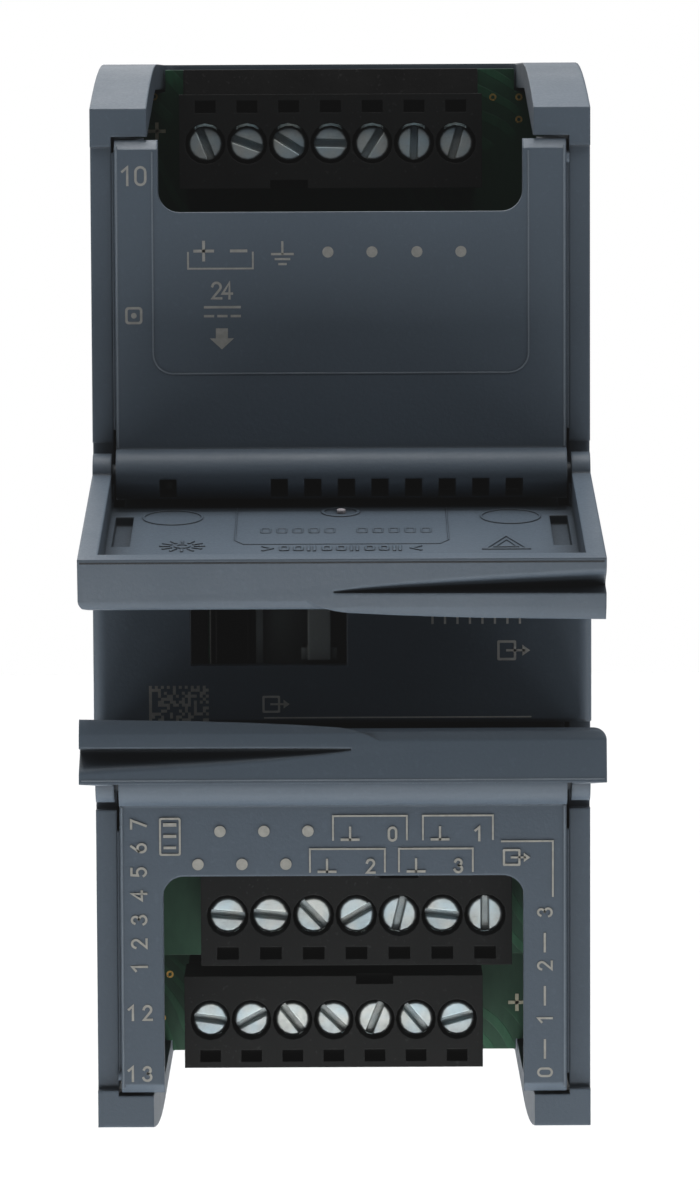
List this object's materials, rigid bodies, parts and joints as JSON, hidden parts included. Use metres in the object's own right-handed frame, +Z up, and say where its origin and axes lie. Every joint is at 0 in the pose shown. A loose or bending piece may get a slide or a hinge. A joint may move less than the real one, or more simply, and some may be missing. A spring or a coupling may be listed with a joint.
{
  "type": "plc module",
  "caption": "DIN-rail output module of a programmable controller: housing with hinged terminal covers, pull-off screw terminal blocks, sliding bus connector and rail clips.",
  "frame": {"origin": "centre of the raised pad in the back's rail channel, where the module bears on the mounting rail", "axes": "+Z up, +X to the module's right seen from the front, +Y out of the back towards the rail and the wall"},
  "size_m": [0.045, 0.1031, 0.1],
  "materials": {
    "housing": "fine-textured blue-grey moulded plastic",
    "cover": "fine-textured blue-grey moulded plastic, slightly lighter",
    "terminal": "black glass-filled plastic",
    "connector": "black moulded plastic",
    "clip": "dark moulded plastic",
    "steel": "zinc-plated, brushed by the driver",
    "board": "green solder resist",
    "ferrite": "sintered ferrite and tape",
    "chip": "moulded chip package",
    "capacitor": "aluminium can",
    "light_guide": "milky clear plastic"
  },
  "bodies": {
    "housing": {"rear_housing": "housing", "front_cover": "housing", "main_board": "board", "output_board": "board", "board_link": "connector", "converter_transformer": "ferrite", "bus_controller_chip": "chip", "output_converter_chip": "chip", "input_capacitor": "capacitor", "output_capacitor": "capacitor", "status_light_guide": "light_guide", "channel_light_guide": "light_guide", "header_x10": "connector", "header_x12": "connector", "header_x13": "connector", "bus_socket": "connector"},
    "upper_cover": {"upper_terminal_cover": "cover"},
    "lower_cover": {"lower_terminal_cover": "cover"},
    "plug_x10": {"terminal_block_x10": "terminal"},
    "plug_x12": {"terminal_block_x12": "terminal"},
    "plug_x13": {"terminal_block_x13": "terminal"},
    "bus_connector": {"bus_slider": "clip", "bus_plug": "connector"},
    "lower_clip": {"lower_rail_clip": "clip"},
    "upper_clip": {"upper_rail_clip": "clip"},
    "screw_x10_1": {"screw_x10_1": "steel"},
    "screw_x10_2": {"screw_x10_2": "steel"},
    "screw_x10_3": {"screw_x10_3": "steel"},
    "screw_x10_4": {"screw_x10_4": "steel"},
    "screw_x10_5": {"screw_x10_5": "steel"},
    "screw_x10_6": {"screw_x10_6": "steel"},
    "screw_x10_7": {"screw_x10_7": "steel"},
    "screw_x12_1": {"screw_x12_1": "steel"},
    "screw_x12_2": {"screw_x12_2": "steel"},
    "screw_x12_3": {"screw_x12_3": "steel"},
    "screw_x12_4": {"screw_x12_4": "steel"},
    "screw_x12_5": {"screw_x12_5": "steel"},
    "screw_x12_6": {"screw_x12_6": "steel"},
    "screw_x12_7": {"screw_x12_7": "steel"},
    "screw_x13_1": {"screw_x13_1": "steel"},
    "screw_x13_2": {"screw_x13_2": "steel"},
    "screw_x13_3": {"screw_x13_3": "steel"},
    "screw_x13_4": {"screw_x13_4": "steel"},
    "screw_x13_5": {"screw_x13_5": "steel"},
    "screw_x13_6": {"screw_x13_6": "steel"},
    "screw_x13_7": {"screw_x13_7": "steel"}
  },
  "joints": [
    {"name": "cover_upper_hinge", "type": "hinge", "parent": "housing", "child": "upper_cover", "pos_m": [0, -0.0645, 0.01305], "axis": [1, 0, 0], "range_deg": [-99.4, 0]},
    {"name": "cover_lower_hinge", "type": "hinge", "parent": "housing", "child": "lower_cover", "pos_m": [0, -0.0645, -0.01485], "axis": [-1, 0, 0], "range_deg": [-97.4, 0]},
    {"name": "plug_x10_pull", "type": "slide", "parent": "housing", "child": "plug_x10", "axis": [0, -1, 0], "range_m": [0, 0.054]},
    {"name": "plug_x12_pull", "type": "slide", "parent": "housing", "child": "plug_x12", "axis": [0, -1, 0], "range_m": [0, 0.033]},
    {"name": "plug_x13_pull", "type": "slide", "parent": "housing", "child": "plug_x13", "axis": [0, -1, 0], "range_m": [0, 0.054]},
    {"name": "bus_slider_slide", "type": "slide", "parent": "housing", "child": "bus_connector", "axis": [-1, 0, 0], "range_m": [0, 0.0058]},
    {"name": "clip_lower_slide", "type": "slide", "parent": "housing", "child": "lower_clip", "axis": [0, 0, -1], "range_m": [0, 0.01]},
    {"name": "clip_upper_slide", "type": "slide", "parent": "housing", "child": "upper_clip", "axis": [0, 0, 1], "range_m": [0, 0.01]},
    {"name": "screw_x10_1_turn", "type": "hinge", "parent": "plug_x10", "child": "screw_x10_1", "pos_m": [-0.0129, -0.0305, 0.0424], "axis": [0, -1, 0], "continuous": true},
    {"name": "screw_x10_2_turn", "type": "hinge", "parent": "plug_x10", "child": "screw_x10_2", "pos_m": [-0.0089, -0.0305, 0.0424], "axis": [0, -1, 0], "continuous": true},
    {"name": "screw_x10_3_turn", "type": "hinge", "parent": "plug_x10", "child": "screw_x10_3", "pos_m": [-0.0049, -0.0305, 0.0424], "axis": [0, -1, 0], "continuous": true},
    {"name": "screw_x10_4_turn", "type": "hinge", "parent": "plug_x10", "child": "screw_x10_4", "pos_m": [-0.0009, -0.0305, 0.0424], "axis": [0, -1, 0], "continuous": true},
    {"name": "screw_x10_5_turn", "type": "hinge", "parent": "plug_x10", "child": "screw_x10_5", "pos_m": [0.0031, -0.0305, 0.0424], "axis": [0, -1, 0], "continuous": true},
    {"name": "screw_x10_6_turn", "type": "hinge", "parent": "plug_x10", "child": "screw_x10_6", "pos_m": [0.0071, -0.0305, 0.0424], "axis": [0, -1, 0], "continuous": true},
    {"name": "screw_x10_7_turn", "type": "hinge", "parent": "plug_x10", "child": "screw_x10_7", "pos_m": [0.0111, -0.0305, 0.0424], "axis": [0, -1, 0], "continuous": true},
    {"name": "screw_x12_1_turn", "type": "hinge", "parent": "plug_x12", "child": "screw_x12_1", "pos_m": [-0.0108, -0.0515, -0.0291], "axis": [0, -1, 0], "continuous": true},
    {"name": "screw_x12_2_turn", "type": "hinge", "parent": "plug_x12", "child": "screw_x12_2", "pos_m": [-0.0068, -0.0515, -0.0291], "axis": [0, -1, 0], "continuous": true},
    {"name": "screw_x12_3_turn", "type": "hinge", "parent": "plug_x12", "child": "screw_x12_3", "pos_m": [-0.0028, -0.0515, -0.0291], "axis": [0, -1, 0], "continuous": true},
    {"name": "screw_x12_4_turn", "type": "hinge", "parent": "plug_x12", "child": "screw_x12_4", "pos_m": [0.0012, -0.0515, -0.0291], "axis": [0, -1, 0], "continuous": true},
    {"name": "screw_x12_5_turn", "type": "hinge", "parent": "plug_x12", "child": "screw_x12_5", "pos_m": [0.0052, -0.0515, -0.0291], "axis": [0, -1, 0], "continuous": true},
    {"name": "screw_x12_6_turn", "type": "hinge", "parent": "plug_x12", "child": "screw_x12_6", "pos_m": [0.0092, -0.0515, -0.0291], "axis": [0, -1, 0], "continuous": true},
    {"name": "screw_x12_7_turn", "type": "hinge", "parent": "plug_x12", "child": "screw_x12_7", "pos_m": [0.0132, -0.0515, -0.0291], "axis": [0, -1, 0], "continuous": true},
    {"name": "screw_x13_1_turn", "type": "hinge", "parent": "plug_x13", "child": "screw_x13_1", "pos_m": [-0.013, -0.0305, -0.0425], "axis": [0, -1, 0], "continuous": true},
    {"name": "screw_x13_2_turn", "type": "hinge", "parent": "plug_x13", "child": "screw_x13_2", "pos_m": [-0.009, -0.0305, -0.0425], "axis": [0, -1, 0], "continuous": true},
    {"name": "screw_x13_3_turn", "type": "hinge", "parent": "plug_x13", "child": "screw_x13_3", "pos_m": [-0.005, -0.0305, -0.0425], "axis": [0, -1, 0], "continuous": true},
    {"name": "screw_x13_4_turn", "type": "hinge", "parent": "plug_x13", "child": "screw_x13_4", "pos_m": [-0.001, -0.0305, -0.0425], "axis": [0, -1, 0], "continuous": true},
    {"name": "screw_x13_5_turn", "type": "hinge", "parent": "plug_x13", "child": "screw_x13_5", "pos_m": [0.003, -0.0305, -0.0425], "axis": [0, -1, 0], "continuous": true},
    {"name": "screw_x13_6_turn", "type": "hinge", "parent": "plug_x13", "child": "screw_x13_6", "pos_m": [0.007, -0.0305, -0.0425], "axis": [0, -1, 0], "continuous": true},
    {"name": "screw_x13_7_turn", "type": "hinge", "parent": "plug_x13", "child": "screw_x13_7", "pos_m": [0.011, -0.0305, -0.0425], "axis": [0, -1, 0], "continuous": true}
  ]
}
